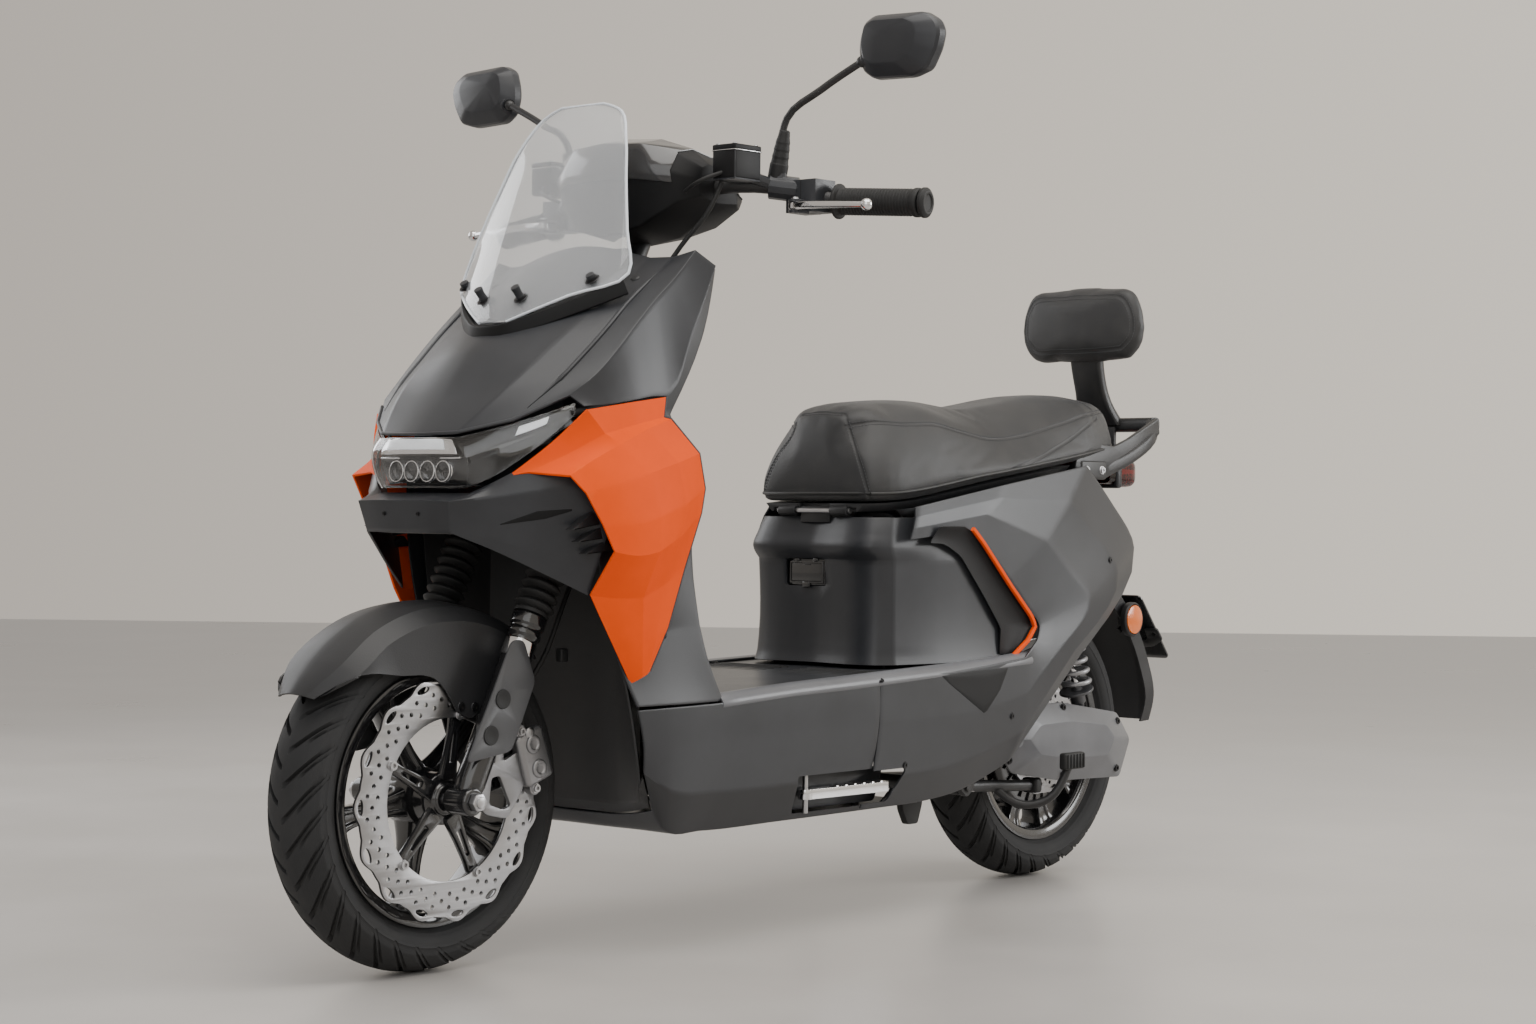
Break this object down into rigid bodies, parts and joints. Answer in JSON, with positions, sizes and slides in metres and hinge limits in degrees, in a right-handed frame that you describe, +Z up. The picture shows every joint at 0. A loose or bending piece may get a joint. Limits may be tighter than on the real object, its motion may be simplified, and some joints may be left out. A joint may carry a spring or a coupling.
{
  "type": "electric scooter",
  "caption": "Seated two-wheeled electric scooter with a step-through floor, telescopic front fork, hub motor in a swingarm, lifting seat, windshield, grab rail and backrest",
  "frame": {"origin": "on the ground, in the middle of the bounding box seen from above", "axes": "+X forward, +Y to the rider's left, +Z up"},
  "size_m": [1.8636, 0.934, 1.253],
  "materials": {
    "satin_dark_plastic": "satin, fine moulded grain",
    "matt_dark_plastic": "matt",
    "orange_plastic": "satin gloss",
    "gloss_black_paint": "gloss black",
    "black_frame_paint": "semi gloss black",
    "tyre_rubber": "matt",
    "soft_rubber": "matt",
    "seat_vinyl": "fine grained synthetic leather",
    "disc_steel": "ground",
    "polished_metal": "polished",
    "cast_grey": "satin cast",
    "grey_cover_plastic": "satin",
    "clear_lens": "clear",
    "red_lens": "clear coloured",
    "battery_case": "matt",
    "spring_orange": "satin black"
  },
  "bodies": {
    "frame": {"main_frame": "black_frame_paint", "splash_panel": "matt_dark_plastic", "leg_shield": "satin_dark_plastic", "nose_cowl": "satin_dark_plastic", "lower_cowl": "satin_dark_plastic", "headlight_lens": "clear_lens", "side_fairing_left": "orange_plastic", "side_fairing_right": "orange_plastic", "windshield": "clear_lens", "floor_panel": "satin_dark_plastic", "underbody": "satin_dark_plastic", "seat_box": "satin_dark_plastic", "battery_pack": "battery_case", "motor_controller": "cast_grey", "tail_panel_left": "satin_dark_plastic", "tail_panel_right": "satin_dark_plastic", "grab_rail": "cast_grey", "backrest_pad": "seat_vinyl", "tail_light": "red_lens", "rear_fender": "matt_dark_plastic"},
    "steering": {"steering_stem": "black_frame_paint", "handlebar": "black_frame_paint", "handlebar_cover": "satin_dark_plastic", "left_grip": "soft_rubber", "left_switch_housing": "matt_dark_plastic", "right_switch_housing": "matt_dark_plastic", "brake_hose": "soft_rubber", "gaiter_left": "soft_rubber", "gaiter_right": "soft_rubber", "mirror_stalk_left": "matt_dark_plastic", "mirror_stalk_right": "matt_dark_plastic"},
    "fork_lowers": {"fork_slider_left": "gloss_black_paint", "fork_slider_right": "gloss_black_paint", "front_axle": "disc_steel", "front_fender": "matt_dark_plastic", "front_caliper": "cast_grey"},
    "front_wheel": {"front_tyre": "tyre_rubber", "front_rim": "gloss_black_paint", "front_disc": "disc_steel"},
    "swing": {"swingarm": "black_frame_paint", "motor_cover": "grey_cover_plastic"},
    "rear_wheel": {"rear_tyre": "tyre_rubber", "hub_motor": "gloss_black_paint", "rear_disc": "disc_steel"},
    "shock_upper": {"shock_body": "black_frame_paint", "shock_spring": "spring_orange"},
    "shock_lower": {"shock_rod": "polished_metal"},
    "stand": {"centre_stand": "black_frame_paint"},
    "peg_left": {"footpeg_left": "polished_metal"},
    "peg_right": {"footpeg_right": "polished_metal"},
    "seat": {"seat_pan": "matt_dark_plastic", "seat_cushion": "seat_vinyl"},
    "flap": {"charge_flap": "matt_dark_plastic"},
    "throttle": {"throttle_grip": "soft_rubber"},
    "lever_left": {"brake_lever_left": "polished_metal"},
    "lever_right": {"brake_lever_right": "polished_metal"},
    "mirror_left": {"mirror_head_left": "matt_dark_plastic"},
    "mirror_right": {"mirror_head_right": "matt_dark_plastic"},
    "horn": {"horn_button": "orange_plastic"},
    "signal": {"signal_switch": "cast_grey"}
  },
  "joints": [
    {"name": "steering_turn", "type": "hinge", "parent": "frame", "child": "steering", "pos_m": [0.67643, 0, 0.20838], "axis": [-0.4462, 0, 0.8949], "range_deg": [-38, 38], "deforming": ["brake_hose"]},
    {"name": "fork_slide", "type": "slide", "parent": "steering", "child": "fork_lowers", "axis": [-0.4462, 0, 0.8949], "range_m": [0, 0.07], "stiffness_N_per_m": 9000, "springref_m": -0.06, "deforming": ["gaiter_left", "gaiter_right"]},
    {"name": "front_wheel_spin", "type": "hinge", "parent": "fork_lowers", "child": "front_wheel", "pos_m": [0.70775, 0, 0.224], "axis": [0, 1, 0], "continuous": true},
    {"name": "swingarm_swing", "type": "hinge", "parent": "frame", "child": "swing", "pos_m": [-0.28225, 0, 0.25], "axis": [0, 1, 0], "range_deg": [0, 10], "stiffness_Nm_per_rad": 1500, "springref_deg": -9.45},
    {"name": "rear_wheel_spin", "type": "hinge", "parent": "swing", "child": "rear_wheel", "pos_m": [-0.61225, 0, 0.224], "axis": [0, 1, 0], "continuous": true},
    {"name": "shock_turn", "type": "hinge", "parent": "frame", "child": "shock_upper", "pos_m": [-0.55225, 0.104, 0.5], "axis": [0, 1, 0], "range_deg": [0, 4]},
    {"name": "shock_slide", "type": "slide", "parent": "shock_upper", "child": "shock_lower", "axis": [0.321, 0, 0.9471], "range_m": [0, 0.062], "deforming": ["shock_spring"]},
    {"name": "stand_swing", "type": "hinge", "parent": "frame", "child": "stand", "pos_m": [-0.31225, 0, 0.17], "axis": [0, -1, 0], "range_deg": [0, 80]},
    {"name": "footpeg_left_fold", "type": "hinge", "parent": "frame", "child": "peg_left", "pos_m": [0.11975, 0.156, 0.195], "axis": [0, 0, 1], "range_deg": [-85, 0]},
    {"name": "footpeg_right_fold", "type": "hinge", "parent": "frame", "child": "peg_right", "pos_m": [0.11975, -0.156, 0.195], "axis": [0, 0, 1], "range_deg": [0, 85]},
    {"name": "seat_open", "type": "hinge", "parent": "frame", "child": "seat", "pos_m": [-0.08025, 0, 0.593], "axis": [0, 1, 0], "range_deg": [0, 75]},
    {"name": "charge_flap_open", "type": "hinge", "parent": "frame", "child": "flap", "pos_m": [-0.08485, -0.017, 0.5206], "axis": [0, -1, 0], "range_deg": [0, 95]},
    {"name": "throttle_twist", "type": "hinge", "parent": "steering", "child": "throttle", "pos_m": [0.20275, -0.27, 1.013], "axis": [-0.1958, -0.979, -0.0571], "range_deg": [0, 70], "stiffness_Nm_per_rad": 0.35, "springref_deg": -17.19},
    {"name": "brake_lever_left_pull", "type": "hinge", "parent": "steering", "child": "lever_left", "pos_m": [0.25375, 0.242, 1.004], "axis": [0, 0, 1], "range_deg": [0, 18], "stiffness_Nm_per_rad": 2, "springref_deg": -17.19},
    {"name": "brake_lever_right_pull", "type": "hinge", "parent": "steering", "child": "lever_right", "pos_m": [0.25375, -0.242, 1.004], "axis": [0, 0, 1], "range_deg": [-18, 0], "stiffness_Nm_per_rad": 2, "springref_deg": 17.19},
    {"name": "mirror_left_aim", "type": "hinge", "parent": "steering", "child": "mirror_left", "pos_m": [0.23175, 0.338, 1.192], "axis": [0, 0, 1], "range_deg": [-18, 18]},
    {"name": "mirror_right_aim", "type": "hinge", "parent": "steering", "child": "mirror_right", "pos_m": [0.23175, -0.338, 1.192], "axis": [0, 0, 1], "range_deg": [-18, 18]},
    {"name": "horn_press", "type": "slide", "parent": "steering", "child": "horn", "axis": [1, 0, 0], "range_m": [0, 0.0025], "stiffness_N_per_m": 400, "springref_m": -0.002},
    {"name": "signal_slide", "type": "slide", "parent": "steering", "child": "signal", "axis": [0, 1, 0], "range_m": [-0.0028, 0.0028], "stiffness_N_per_m": 300}
  ],
  "couplings": [
    {"joint": "shock_turn", "follows": "swingarm_swing", "ratio": 0.365},
    {"joint": "shock_slide", "follows": "swingarm_swing", "m_per_rad": 0.3407}
  ]
}
